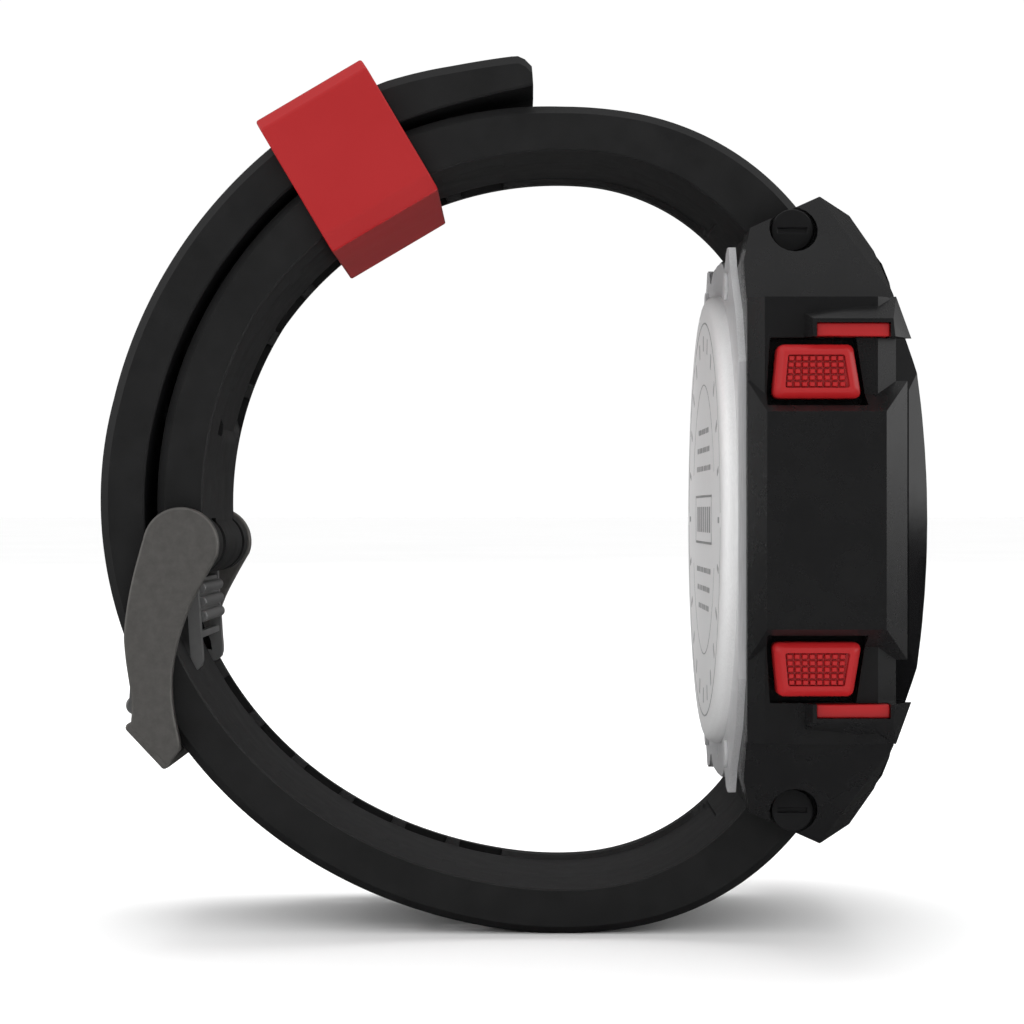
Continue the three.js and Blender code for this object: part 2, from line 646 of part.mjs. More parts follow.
function strapUpper() {
  const outer = faceLine(upperOuterR, LUG_ANGLE, 181);
  const inner = faceLine(upperInnerR, 181, 57);
  const ring = sidePrism([...outer, ...inner, ...[...END_BLOCK].reverse()], -STRAP_Y, STRAP_Y);
  const knuckle = rodY(2.6, PIVOT.x + 0.45, PIVOT.z + 0.03, -STRAP_Y, STRAP_Y, 28);
  const pinBore = rodY(PIN_R + 0.1, PIVOT.x, PIVOT.z, -STRAP_Y - 1, STRAP_Y + 1, 24);
  const tongueGap = sidePrism([[-3.3, 2.2], [-3.3, -4], [4, -4], [4, 2.2]]
    .map(([x, z]) => [PIVOT.x + x, PIVOT.z + z]), SLOT_Y - 0.9, SLOT_Y + 0.9);
  const slots = Array.from({ length: 7 }, (unused, i) => slotPair(103 + 9.9 * i));
  return cut(joined(ring, knuckle), innerChannel(upperInnerR, 72, 166), pinBore, tongueGap,
    mirrored(tongueGap, 1, -1, 1), pinHole(LUG_PIN.z), ...slots);
}

// The slot that the tongue's prongs pass through is the seventh from the bottom of the ring.
const PRONG_SLOT_ANGLE = 199.15;
const LOWER_SLOTS = Array.from({ length: 16 }, (unused, i) => PRONG_SLOT_ANGLE + (6 - i) * SLOT_PITCH_ANGLE);

function strapLower() {
  const outer = faceLine(lowerOuterR, 360 - LUG_ANGLE, TAIL_TIP_ANGLE);
  const inner = faceLine(lowerInnerR, TAIL_TIP_ANGLE, 303);
  const ring = sidePrism([...outer, ...inner, ...flipped(END_BLOCK).reverse()], -STRAP_Y, STRAP_Y);
  const slots = LOWER_SLOTS.filter((angle) => angle > TAIL_TIP_ANGLE + 8).map(slotPair);
  return cut(ring, innerChannel(lowerInnerR, 100, 288), pinHole(-LUG_PIN.z), ...slots);
}

addPiece('strap_upper', strapUpper(), rubber);
addPiece('strap_lower', strapLower(), rubber);

// Each strap end turns on a tubular pin, held by a screw through either lug.
function strapPin() {
  const tube = rodY(1.05, LUG_PIN.x, LUG_PIN.z, -LUG_GAP_Y + 0.1, LUG_GAP_Y - 0.1, 24);
  return cut(tube, rodY(0.6, LUG_PIN.x, LUG_PIN.z, -LUG_GAP_Y - 1, LUG_GAP_Y + 1, 16));
}

function lugScrew() {
  const head = rodY(1.7, LUG_PIN.x, LUG_PIN.z, 14.2, 14.9, 24);
  const shank = rodY(0.5, LUG_PIN.x, LUG_PIN.z, 7.5, 14.5, 16);
  const drive = block([LUG_PIN.x - 1.2, LUG_PIN.x + 1.2], [14.6, 16], [LUG_PIN.z - 0.2, LUG_PIN.z + 0.2]);
  return cut(joined(head, shank), drive);
}

addPiece('strap_pin_upper', strapPin(), springSteel);
addPiece('strap_pin_lower', mirrored(strapPin(), 1, 1, -1), springSteel);
for (const corner of fourCorners) {
  addPiece(`lug_screw_${corner.name}`, mirrored(lugScrew(), 1, corner.y, corner.z), darkSteel);
}

// ---------------------------------------------------------------- buckle, about its pin

const buckle = new THREE.Group();
buckle.position.set(PIVOT.x, 0, PIVOT.z);
watch.add(buckle);

// One side plate: round over the pin, waisted, and widening to the cross bar's end.
function sidePlate() {
  const shape = new THREE.Shape();
  const roundR = 3.1;
  shape.absarc(0.1, 0, roundR, 165 * DEGREE, -20 * DEGREE, true);
  shape.splineThru([[1.9, -3], [0.75, -5.3], [-0.2, -8.2], [-0.6, -10.8], [-0.5, -13.3], [0, -15.9]]
    .map(([x, z]) => new THREE.Vector2(x, z)));
  shape.lineTo(0.1, -16.7);
  shape.lineTo(-1, -18.1);
  shape.lineTo(-4, -14.9);
  shape.splineThru([[-3.9, -12.75], [-4.4, -9.2], [-4.5, -6.8], [-3.95, -3.2]]
    .map(([x, z]) => new THREE.Vector2(x, z)));
  return sidePrism(shape, FRAME_INNER_Y, FRAME_OUTER_Y, 8);
}

function buckleFrame() {
  const plate = sidePlate();
  const blindHole = rodY(PIN_R + 0.08, 0, 0, FRAME_INNER_Y - 1, FRAME_OUTER_Y - 0.5, 24);
  const bored = cut(plate, blindHole);
  const barEnd = FRAME_OUTER_Y - 0.5;
  const crossBar = sidePrism([[-4.45, -15], [-4.3, -14.6], [-3.4, -14.25], [-0.5, -17.3], [-0.75, -18.1],
    [-1.3, -18.35]], -barEnd, barEnd);
  return joined(bored, mirrored(bored, 1, -1, 1), crossBar);
}

// A strip of even thickness along a line in X and Z.
function stripOutline(line, half) {
  const curve = new THREE.CatmullRomCurve3(line.map(([x, z]) => new THREE.Vector3(x, 0, z)));
  const steps = line.length * 2;
  const sides = [1, -1].map((side) => Array.from({ length: steps + 1 }, (unused, i) => {
    const point = curve.getPoint(i / steps);
    const along = curve.getTangent(i / steps);
    return [point.x - side * half * along.z, point.z + side * half * along.x];
  }));
  return [...sides[0], ...sides[1].reverse()];
}

// The tongue: two prongs that leave the pin under the tail, turn out through the strap's slots on an
// arc about the pin, and lie along the tail to the cross bar. A ribbed bridge joins them.
const PRONG = { y: [SLOT_Y - 0.6, SLOT_Y + 0.6], arcR: 10, half: 0.5 };

function buckleTongue() {
  const { arcR } = PRONG;
  const onArc = (angle) => [arcR * Math.cos(angle * DEGREE), arcR * Math.sin(angle * DEGREE)];
  const under = [[0.2, -0.9], [0.35, -3.3], [0.5, -5.7], [0.65, -8]];
  const arc = [-86, -92, -98, -103, -107].map(onArc);
  const over = [[-3.85, -9.55], [-4.2, -10.4], [-4.3, -11.6], [-4.4, -13.4]];
  const strip = sidePrism(stripOutline([...under, ...arc, ...over], PRONG.half), ...PRONG.y);
  const tip = rodY(0.8, -4.4, -13.5, PRONG.y[0] + 0.1, PRONG.y[1] - 0.1);
  const eye = rodY(1.5, 0, 0, PRONG.y[0] - 0.1, PRONG.y[1] + 0.1, 24);
  const prong = joined(strip, tip, eye);
  const bridge = sidePrism(stripOutline([[0.33, -2.9], [0.45, -4.6], [0.55, -6.6]], 0.45), -SLOT_Y, SLOT_Y);
  const ribs = [-3.7, -4.9, -6.1].map((z) => rodY(0.45, 0.6 - z * 0.06, z, -SLOT_Y + 0.8, SLOT_Y - 0.8, 10));
  const bore = rodY(PIN_R + 0.08, 0, 0, -SLOT_Y - 2, SLOT_Y + 2, 24);
  return cut(joined(prong, mirrored(prong, 1, -1, 1), bridge, ...ribs), bore);
}

addPiece('buckle_frame', buckleFrame(), darkSteel, buckle);
addPiece('buckle_tongue', buckleTongue(), springSteel, buckle);
const pinEnd = FRAME_OUTER_Y - 0.6;
addPiece('buckle_pin', rodY(PIN_R, 0, 0, -pinEnd, pinEnd, 24), springSteel, buckle);

// ---------------------------------------------------------------- keeper, about the ring's centre

const keeper = new THREE.Group();
keeper.position.set(RING.x, 0, RING.z);
keeper.rotation.y = (90 - KEEPER_ANGLE) * DEGREE;
watch.add(keeper);

function keeperLoop() {
  const edge = 0.55;
  const half = KEEPER_LENGTH / 2;
  const { innerR, outerR, y } = KEEPER;
  const levels = [
    [half - edge, y, innerR, outerR],
    [half, y - edge, innerR + edge, outerR - edge],
    [half - edge, y - edge, innerR, outerR],
  ];
  const corners = levels.flatMap(([x, cornerY, low, high]) => [x, -x].flatMap((cornerX) => (
    [cornerY, -cornerY].flatMap((side) => [[cornerX, side, low + edge / 2], [cornerX, side, high - edge / 2]])
  )));
  const faces = [[half - edge, y - edge, innerR], [half - edge, y - edge, outerR]];
  const faceCorners = faces.flatMap(([x, cornerY, z]) => [x, -x].flatMap((cornerX) => (
    [[cornerX, cornerY, z], [cornerX, -cornerY, z]])));
  const body = hull([...corners, ...faceCorners]);
  const bore = block([-half - 1, half + 1], [-KEEPER_BORE.y, KEEPER_BORE.y],
    [KEEPER_BORE.innerR, KEEPER_BORE.outerR]);
  return cut(body, bore);
}

addPiece('strap_keeper', keeperLoop(), redPlastic, keeper);

export default watch;
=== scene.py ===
"""The looks of a wrist dive computer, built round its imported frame: detailed meshes, materials, studio, camera.

Shapes are worked out in millimetres, in the frame's own axes, and turned into metres when a mesh is made.
+X comes out of the display, +Z points to 12 o'clock and +Y to 3 o'clock.
"""

import json
import math

import bmesh
import bpy
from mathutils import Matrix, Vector


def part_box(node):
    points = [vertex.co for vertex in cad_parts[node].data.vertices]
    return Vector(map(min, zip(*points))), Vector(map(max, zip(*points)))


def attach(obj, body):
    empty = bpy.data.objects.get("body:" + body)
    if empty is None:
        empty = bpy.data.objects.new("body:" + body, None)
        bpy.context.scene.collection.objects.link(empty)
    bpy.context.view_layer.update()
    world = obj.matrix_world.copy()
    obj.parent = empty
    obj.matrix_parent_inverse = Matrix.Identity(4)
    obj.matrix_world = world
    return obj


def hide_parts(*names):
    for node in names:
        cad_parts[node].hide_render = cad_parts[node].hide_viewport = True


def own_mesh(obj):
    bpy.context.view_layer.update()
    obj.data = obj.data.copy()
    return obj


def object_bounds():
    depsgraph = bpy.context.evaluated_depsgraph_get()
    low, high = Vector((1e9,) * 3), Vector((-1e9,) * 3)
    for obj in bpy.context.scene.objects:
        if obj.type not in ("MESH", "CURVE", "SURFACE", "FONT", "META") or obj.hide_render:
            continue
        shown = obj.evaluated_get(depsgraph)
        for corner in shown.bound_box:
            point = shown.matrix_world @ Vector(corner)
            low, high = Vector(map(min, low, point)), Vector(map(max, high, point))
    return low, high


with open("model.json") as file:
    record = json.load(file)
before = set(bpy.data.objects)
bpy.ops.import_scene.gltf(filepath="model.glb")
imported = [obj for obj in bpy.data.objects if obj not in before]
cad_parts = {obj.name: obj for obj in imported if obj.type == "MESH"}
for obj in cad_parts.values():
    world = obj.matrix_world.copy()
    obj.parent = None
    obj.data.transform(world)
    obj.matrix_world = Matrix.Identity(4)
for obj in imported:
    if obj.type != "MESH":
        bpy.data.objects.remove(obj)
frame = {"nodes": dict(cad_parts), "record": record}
cad_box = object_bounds()

MM = 0.001
BODY_OF = {node: body for body, nodes in frame["record"]["behaviour"]["bodies"].items() for node in nodes}
CORNERS = {"upper_left": (-1, 1), "upper_right": (1, 1), "lower_left": (-1, -1), "lower_right": (1, -1)}

# Strap, millimetres and degrees. Angles run from +X towards +Z about the ring's centre.
RING = (-12.5, 0.0)
STRAP_Y = 11.0
STRAP_INNER_R = 30.3
STRAP_OUTER_R = 34.15
TAIL_INNER_R = 34.5
TAIL_TIP_ANGLE = 93.8
UPPER_SLOTS = [103 + 9.9 * k for k in range(7)]
LOWER_SLOTS = [199.15 + 9.6 * (6 - k) for k in range(16)]
SLOT_TOOL_R = (27.5, 40.5)
LUG_OUTER_ANGLE = 52
LUG_INNER_ANGLE = 57
CREST_Y = 6.6
CREST_DEPTH = -0.3
EDGE_DEPTH = 0.15
EDGE_CHAMFER = 0.75
INNER_CHAMFER = 0.15
RECESS_FLOOR = 0.2
SLOT_Y = 7.0
SLOT_WIDTH = 1.8
SLOT_ARC = 3.9
LUG_PIN = (6.0, 23.4)
PIVOT = (-43.8, -2.05)
PIN_R = 0.75
KNUCKLE_R = 2.6

# Buckle, about its pin.
FRAME_INNER_Y = 11.6
FRAME_OUTER_Y = 12.8
PRONG_ARC_R = 10

# Keeper, about the ring's centre.
KEEPER_ANGLE = 120.6
KEEPER_LENGTH = 10.1
KEEPER_R = (28.5, 41.05)
KEEPER_BORE_R = (29.5, 39.45)
KEEPER_Y = 12.3
KEEPER_BORE_Y = 11.35

# Buttons and battery cover.
BUTTON_X = 6.9
BUTTON_Z = 11.5
CAP_INNER_Y = 21.3
CAP_OUTER_Y = 23.9
ETCH_X = (-0.02, 0.05)


# ---------------------------------------------------------------- meshes


def lerp(a, b, share):
    return a + (b - a) * share


def ramp(angle, start, end, a, b):
    return lerp(a, b, min(max((angle - start) / (end - start), 0), 1))


def smoothstep(value, low, high):
    share = min(max((value - low) / (high - low), 0), 1)
    return share * share * (3 - 2 * share)


def object_from(name, vertices, faces):
    mesh = bpy.data.meshes.new(name)
    mesh.from_pydata([[c * MM for c in v] for v in vertices], [], faces)
    bm = bmesh.new()
    bm.from_mesh(mesh)
    bmesh.ops.recalc_face_normals(bm, faces=bm.faces)
    bm.to_mesh(mesh)
    bm.free()
    obj = bpy.data.objects.new(name, mesh)
    bpy.context.scene.collection.objects.link(obj)
    return obj


def loft(name, loops, closed=False):
    """A skin over loops with equal numbers of points. Its two ends are capped, unless it closes on itself."""
    count = len(loops[0])
    vertices = [point for loop in loops for point in loop]
    faces = []
    for i in range(len(loops) if closed else len(loops) - 1):
        a, b = i * count, (i + 1) % len(loops) * count
        for j in range(count):
            k = (j + 1) % count
            faces.append((a + j, a + k, b + k, b + j))
    if not closed:
        faces.append(tuple(range(count)))
        faces.append(tuple(len(vertices) - count + j for j in range(count)))
    return object_from(name, vertices, faces)


def side_prism(name, outline, y0, y1):
    """A prism drawn in X and Z that fills y0 to y1."""
    return loft(name, [[(x, y, z) for x, z in outline] for y in (y0, y1)])


def rod_outline(radius, x, z, sides=64):
    angles = [2 * math.pi * i / sides for i in range(sides)]
    return [(x + radius * math.cos(a), z + radius * math.sin(a)) for a in angles]


def rod_y(name, radius, x, z, y0, y1, sides=64):
    return side_prism(name, rod_outline(radius, x, z, sides), y0, y1)


def apply_modifiers(obj):
    graph = bpy.context.evaluated_depsgraph_get()
    mesh = bpy.data.meshes.new_from_object(obj.evaluated_get(graph))
    obj.modifiers.clear()
    obj.data = mesh
    return obj


def combine(obj, tool, operation):
    """Cuts the tool from the object or joins them, and removes the tool."""
    modifier = obj.modifiers.new("boolean", "BOOLEAN")
    modifier.operation = operation
    modifier.solver = "EXACT"
    modifier.object = tool
    apply_modifiers(obj)
    bpy.data.objects.remove(tool)
    return obj


def merge(name, objects):
    """One object that holds the meshes of several, as separate closed shells."""
    bm = bmesh.new()
    for obj in objects:
        bm.from_mesh(obj.data)
    mesh = bpy.data.meshes.new(name)
    bm.to_mesh(mesh)
    bm.free()
    for obj in objects:
        bpy.data.objects.remove(obj)
    whole = bpy.data.objects.new(name, mesh)
    bpy.context.scene.collection.objects.link(whole)
    return whole


def bevel(obj, width, segments=3, angle=30, material=-1):
    while len(obj.data.materials) <= material:
        obj.data.materials.append(None)
    modifier = obj.modifiers.new("bevel", "BEVEL")
    modifier.width = width * MM
    modifier.segments = segments
    modifier.limit_method = "ANGLE"
    modifier.angle_limit = math.radians(angle)
    modifier.use_clamp_overlap = True
    modifier.material = material
    return obj


def mirrored(obj, y, z):
    """Flips the object's mesh across the planes Y = 0 and Z = 0, for factors of -1."""
    for vertex in obj.data.vertices:
        vertex.co.y *= y
        vertex.co.z *= z
    if y * z < 0:
        obj.data.flip_normals()
    return obj


def place(obj, nodes, slot, *materials, smooth=35):
    """Shades the piece, gives it its materials, and lets it stand for CAD nodes on their body."""
    apply_modifiers(obj)
    obj.data.materials.clear()
    for material in materials:
        obj.data.materials.append(material)
    for face in obj.data.polygons:
        face.use_smooth = True
        face.material_index = min(face.material_index, len(materials) - 1)
    obj.data.set_sharp_from_angle(angle=math.radians(smooth))
    weighted = obj.modifiers.new("normals", "WEIGHTED_NORMAL")
    weighted.keep_sharp = True
    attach(obj, BODY_OF[nodes[0]])
    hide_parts(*nodes)
    return obj


def copy_of(node):
    """A copy of a CAD node's mesh with its flat faces whole again, ready for rounding."""
    bm = bmesh.new()
    bm.from_mesh(frame["nodes"][node].data)
    bmesh.ops.remove_doubles(bm, verts=bm.verts, dist=0.002 * MM)
    bmesh.ops.dissolve_limit(bm, angle_limit=math.radians(1), verts=bm.verts, edges=bm.edges)
    mesh = bpy.data.meshes.new(node + "_shape")
    bm.to_mesh(mesh)
    bm.free()
    obj = bpy.data.objects.new(node + "_shape", mesh)
    bpy.context.scene.collection.objects.link(obj)
    return obj


def refined(node, slot, width, *materials, segments=3, angle=30):
    """The CAD node's own shape with rounded edges."""
    obj = bevel(copy_of(node), width, segments, angle, material=1 if len(materials) > 1 else -1)
    return place(obj, [node], slot, *materials)


def rounded(corners, radius, steps=5):
    """A convex outline with its corners rounded."""
    outline = []
    for i, corner in enumerate(corners):
        here = Vector(corner)
        before = (Vector(corners[i - 1]) - here).normalized()
        after = (Vector(corners[(i + 1) % len(corners)]) - here).normalized()
        reach = radius / math.tan(before.angle(after) / 2)
        start, end = here + before * reach, here + after * reach
        for step in range(steps + 1):
            t = step / steps
            outline.append(tuple(start * (1 - t) ** 2 + here * 2 * t * (1 - t) + end * t * t))
    return outline


def inset(corners, distance):
    """A convex outline, anticlockwise, moved inwards by a distance."""
    moved = []
    for i, corner in enumerate(corners):
        here = Vector(corner)
        before = (here - Vector(corners[i - 1])).normalized()
        after = (Vector(corners[(i + 1) % len(corners)]) - here).normalized()
        inward_a, inward_b = Vector((-before.y, before.x)), Vector((-after.y, after.x))
        bisector = (inward_a + inward_b).normalized()
        moved.append(tuple(here + bisector * (distance / bisector.dot(inward_a))))
    return moved


def spline(points, steps=8):
    """A smooth line through points, with the first and last as its ends."""
    ends = [points[0], *points, points[-1]]
    line = []
    for p0, p1, p2, p3 in zip(ends, ends[1:], ends[2:], ends[3:]):
        for step in range(steps):
            t = step / steps
            line.append(tuple(
                0.5 * (2 * b + (c - a) * t + (2 * a - 5 * b + 4 * c - d) * t * t
                       + (3 * b - a - 3 * c + d) * t ** 3)
                for a, b, c, d in zip(p0, p1, p2, p3)))
    return [*line, tuple(points[-1])]


# ---------------------------------------------------------------- materials


def surface(name, colour, roughness, metallic=0.0, grain=0.25, depth=0.004, stretch=(1, 1, 1), shade=0.12,
            rough_vary=0.06, blotch=5.0, coat=0.0, coat_roughness=0.1, specular=0.5):
    """A material whose fine grain, colour and roughness vary over its surface. Sizes are in millimetres."""
    material = bpy.data.materials.new(name)
    material.use_nodes = True
    nodes, links = material.node_tree.nodes, material.node_tree.links
    shader = nodes["Principled BSDF"]
    shader.inputs["Metallic"].default_value = metallic
    shader.inputs["Coat Weight"].default_value = coat
    shader.inputs["Coat Roughness"].default_value = coat_roughness
    shader.inputs["Specular IOR Level"].default_value = specular
    place_on = nodes.new("ShaderNodeTexCoord")
    mapping = nodes.new("ShaderNodeMapping")
    mapping.inputs["Scale"].default_value = stretch
    links.new(place_on.outputs["Object"], mapping.inputs["Vector"])

    fine = nodes.new("ShaderNodeTexNoise")
    fine.inputs["Scale"].default_value = 1 / (grain * MM)
    fine.inputs["Detail"].default_value = 3
    links.new(mapping.outputs["Vector"], fine.inputs["Vector"])
    bump = nodes.new("ShaderNodeBump")
    bump.inputs["Distance"].default_value = depth * MM
    links.new(fine.outputs["Fac"], bump.inputs["Height"])
    links.new(bump.outputs["Normal"], shader.inputs["Normal"])

    broad = nodes.new("ShaderNodeTexNoise")
    broad.inputs["Scale"].default_value = 1 / (blotch * MM)
    broad.inputs["Detail"].default_value = 5
    broad.inputs["Roughness"].default_value = 0.65
    links.new(mapping.outputs["Vector"], broad.inputs["Vector"])
    spread = nodes.new("ShaderNodeMapRange")
    spread.inputs["From Min"].default_value = 0.3
    spread.inputs["From Max"].default_value = 0.7
    spread.inputs["To Min"].default_value = max(0.02, roughness - rough_vary)
    spread.inputs["To Max"].default_value = roughness + rough_vary
    links.new(broad.outputs["Fac"], spread.inputs["Value"])
    links.new(spread.outputs["Result"], shader.inputs["Roughness"])

    tint = nodes.new("ShaderNodeValToRGB")
    low, high = tint.color_ramp.elements
    low.position, high.position = 0.35, 0.65
    low.color = [*(c * (1 - shade) for c in colour), 1]
    high.color = [*(min(1, c * (1 + shade)) for c in colour), 1]
    source = fine if metallic and stretch != (1, 1, 1) else broad
    links.new(source.outputs["Fac"], tint.inputs["Fac"])
    links.new(tint.outputs["Color"], shader.inputs["Base Color"])
    return material


def clear_glass(name):
    material = surface(name, (0.9, 0.92, 0.93), 0.03, grain=2, depth=0.0005, rough_vary=0.015, shade=0.03)
    shader = material.node_tree.nodes["Principled BSDF"]
    shader.inputs["Transmission Weight"].default_value = 1.0
    shader.inputs["IOR"].default_value = 1.49
    return material


RUBBER = surface("strap_rubber", (0.0125, 0.0125, 0.013), 0.55, grain=0.16, depth=0.006, shade=0.1, blotch=3)
CASE = surface("case_plastic", (0.012, 0.012, 0.0125), 0.27, grain=0.12, depth=0.0025, shade=0.08,
               rough_vary=0.03, blotch=4)
GLOSS = surface("bezel_gloss", (0.004, 0.004, 0.0045), 0.1, grain=0.8, depth=0.001, rough_vary=0.03)
RED = surface("red_plastic", (0.39, 0.012, 0.014), 0.32, grain=0.3, depth=0.0015, shade=0.02, rough_vary=0.02,
              coat=0.15, coat_roughness=0.15, blotch=7, specular=0.35)
STEEL = surface("brushed_steel", (0.76, 0.76, 0.77), 0.4, metallic=0.45, grain=0.09, depth=0.003,
                stretch=(1, 1, 0.04), shade=0.06, rough_vary=0.02, blotch=2)
# A lighter copy of the brushed steel for the battery cover: its raised colour is painted light, lifting the cover
# where it sits in shade.
COVER_STEEL_PAINTED_LIGHT = surface("cover_steel_painted_light", (0.93, 0.93, 0.93), 0.5, metallic=0.25, grain=0.1, depth=0.002,
                stretch=(1, 1, 0.04), shade=0.03, rough_vary=0.02, blotch=2)
# Near-white steel for the bevel faces of the buckle and tongue: its light colour is a painted highlight along
# their rounded edges.
EDGE_HIGHLIGHT_STEEL = surface("steel_painted_edge_highlight", (0.85, 0.85, 0.86), 0.25, metallic=0.65, grain=0.5, depth=0.001)
DARK_STEEL = surface("dark_steel", (0.21, 0.203, 0.193), 0.45, metallic=0.7, grain=0.1, depth=0.003,
                     shade=0.1, rough_vary=0.03, blotch=0.8)
TONGUE_STEEL = surface("tongue_steel", (0.3, 0.3, 0.3), 0.35, metallic=0.7, grain=0.15, depth=0.002)
BLACKENED = surface("blackened_steel", (0.012, 0.012, 0.013), 0.35, grain=0.12, depth=0.002, shade=0.1)
SPRING_STEEL = surface("spring_steel", (0.5, 0.5, 0.5), 0.3, metallic=1.0, grain=0.15, depth=0.002)
ETCHED = surface("etched_steel", (0.5, 0.5, 0.505), 0.5, metallic=0.45, grain=0.08, depth=0.004, shade=0.1)
SEAL = surface("seal_rubber", (0.011, 0.011, 0.012), 0.7, grain=0.2, depth=0.006)
BOARD = surface("board", (0.02, 0.11, 0.04), 0.45, grain=0.5, depth=0.01, shade=0.3, blotch=2)
FRAME_PLASTIC = surface("frame_plastic", (0.25, 0.26, 0.27), 0.6, grain=0.3, depth=0.004)
DIFFUSER = surface("diffuser", (0.72, 0.76, 0.74), 0.5, grain=0.5, depth=0.002)
LCD = surface("lcd", (0.32, 0.37, 0.3), 0.35, grain=0.4, depth=0.0005, shade=0.04)
SEGMENT = surface("lcd_segment", (0.012, 0.014, 0.014), 0.3, grain=0.4, depth=0.0005)
BRASS = surface("brass", (0.5, 0.35, 0.12), 0.35, metallic=1.0, grain=0.2, depth=0.003)
GLASS = clear_glass("lens_glass")

NODE_MATERIALS = {
    "lens_gasket": SEAL, "cover_gasket": SEAL, "button_seal": SEAL, "circuit_board": BOARD,
    "module_frame": FRAME_PLASTIC, "backlight": DIFFUSER, "lcd_panel": LCD, "display_mask": GLOSS,
    "buzzer": BRASS, "pressure_sensor": STEEL, "battery": SPRING_STEEL, "battery_contact": SPRING_STEEL,
    "button_stem": SPRING_STEEL, "button_clip": SPRING_STEEL,
    "strap_pin": SPRING_STEEL, "buckle_pin": SPRING_STEEL,
}


def paint_inner_nodes():
    """Gives the CAD nodes that stay shown the material of their kind."""
    for name, node in frame["nodes"].items():
        for kind, material in NODE_MATERIALS.items():
            if name.startswith(kind):
                node.data.materials.clear()
                node.data.materials.append(material)


# ---------------------------------------------------------------- strap


def on_ring(radius, angle):
    turn = math.radians(angle)
    return RING[0] + radius * math.cos(turn), RING[1] + radius * math.sin(turn)


def ring_axes(angle):
    """The directions away from the ring's centre and along the ring, at an angle."""
    turn = math.radians(angle)
    return (math.cos(turn), math.sin(turn)), (-math.sin(turn), math.cos(turn))


def from_ring(out, along, radius, shift, y):
    """The point at a radius from the ring's centre, shifted along the ring, at y."""
    return RING[0] + out[0] * radius + along[0] * shift, y, RING[1] + out[1] * radius + along[1] * shift


def fall_inner(from_lug):
    return 0.003 * max(0, 86 - from_lug) ** 2


def fall_outer(from_lug):
    return 0.0026 * max(0, 80 - from_lug) ** 2


def upper_inner_r(angle):
    return ramp(angle, 145, 180, STRAP_INNER_R, 29.4) - fall_inner(angle)


def upper_outer_r(angle):
    rise = ramp(angle, 90, 112, 0, 0.45)
    fall = ramp(angle, 130, 180, 0, 1.2)
    return STRAP_OUTER_R + rise - fall - fall_outer(angle)


def tail_path(angle):
    spiral = lerp(TAIL_INNER_R, STRAP_INNER_R, smoothstep(angle, 165, 262))
    over_keeper = ramp(angle, 165, 128, 0, 0.7)
    tip_lift = 0.5 * ramp(angle, 104, TAIL_TIP_ANGLE, 0, 1) ** 1.5
    return spiral + over_keeper + tip_lift


def lower_inner_r(angle):
    return tail_path(angle) - fall_inner(360 - angle)


def lower_outer_r(angle):
    thickness = STRAP_OUTER_R - STRAP_INNER_R
    thinning = ramp(angle, 112, TAIL_TIP_ANGLE, 0, 1)
    round_tip = ramp(angle, TAIL_TIP_ANGLE + 2, TAIL_TIP_ANGLE, 0, 1) ** 2
    return tail_path(angle) + thickness - (thinning + round_tip) - fall_outer(360 - angle)


def recess_depth(angle, y, recess):
    """The inner face's depth at and round the long recess with rounded ends."""
    radius = 2.4
    middle = (recess[0] + recess[1]) / 2
    along = (abs(angle - middle) - (recess[1] - recess[0]) / 2) * math.radians(1) * STRAP_INNER_R + radius
    across = abs(y) - CREST_Y + radius
    beyond = math.hypot(max(along, 0), max(across, 0)) + min(max(along, across), 0) - radius
    return lerp(CREST_DEPTH, RECESS_FLOOR, smoothstep(-beyond, 0.0, 0.3))


def inner_depth(angle, y, recess):
    """How far the inner face lies outside the strap's nominal inner line; the crest lies inside it."""
    if abs(y) > STRAP_Y - INNER_CHAMFER:
        return EDGE_DEPTH + INNER_CHAMFER
    if abs(y) > CREST_Y:
        return lerp(CREST_DEPTH, EDGE_DEPTH, (abs(y) - CREST_Y) / (STRAP_Y - INNER_CHAMFER - CREST_Y))
    return recess_depth(angle, y, recess)


def strap_section(inner, outer, angle, recess, flat=False):
    """One cross-section loop between a point on the inner line and one on the outer line."""
    half = [STRAP_Y, STRAP_Y - INNER_CHAMFER, 9.2, 7.8, CREST_Y + 0.02, *(CREST_Y - 0.3 * i for i in range(22))]
    ys = [*half, *(-y for y in reversed(half))]
    thickness = math.dist(inner, outer)
    along = [(outer[0] - inner[0]) / thickness, (outer[1] - inner[1]) / thickness]

    def at(y, depth):
        return inner[0] + along[0] * depth, y, inner[1] + along[1] * depth

    loop = [at(y, 0 if flat else inner_depth(angle, y, recess)) for y in ys]
    loop.append(at(-STRAP_Y, thickness - EDGE_CHAMFER))
    loop.append(at(-STRAP_Y + EDGE_CHAMFER, thickness))
    loop.append(at(STRAP_Y - EDGE_CHAMFER, thickness))
    loop.append(at(STRAP_Y, thickness - EDGE_CHAMFER))
    return loop


def strap_loops(inner_r, outer_r, inner_span, outer_span, recess, side):
    """Cross-sections from the flat end between the lugs to the half's far end; side is 1 or -1, as Z is."""
    lug_end = [((2.6, 21.5 * side), (9.2, 21.5 * side)), ((2.4, 23.0 * side), (9.2, 23.0 * side))]
    loops = [strap_section(inner, outer, inner_span[0], recess, flat=True) for inner, outer in lug_end]
    count = math.ceil(abs(inner_span[1] - inner_span[0]) / 0.8)
    for i in range(count + 1):
        inner_angle = lerp(*inner_span, i / count)
        outer_angle = lerp(*outer_span, i / count)
        inner = on_ring(inner_r(inner_angle), inner_angle)
        outer = on_ring(outer_r(outer_angle), outer_angle)
        loops.append(strap_section(inner, outer, inner_angle, recess))
    return loops


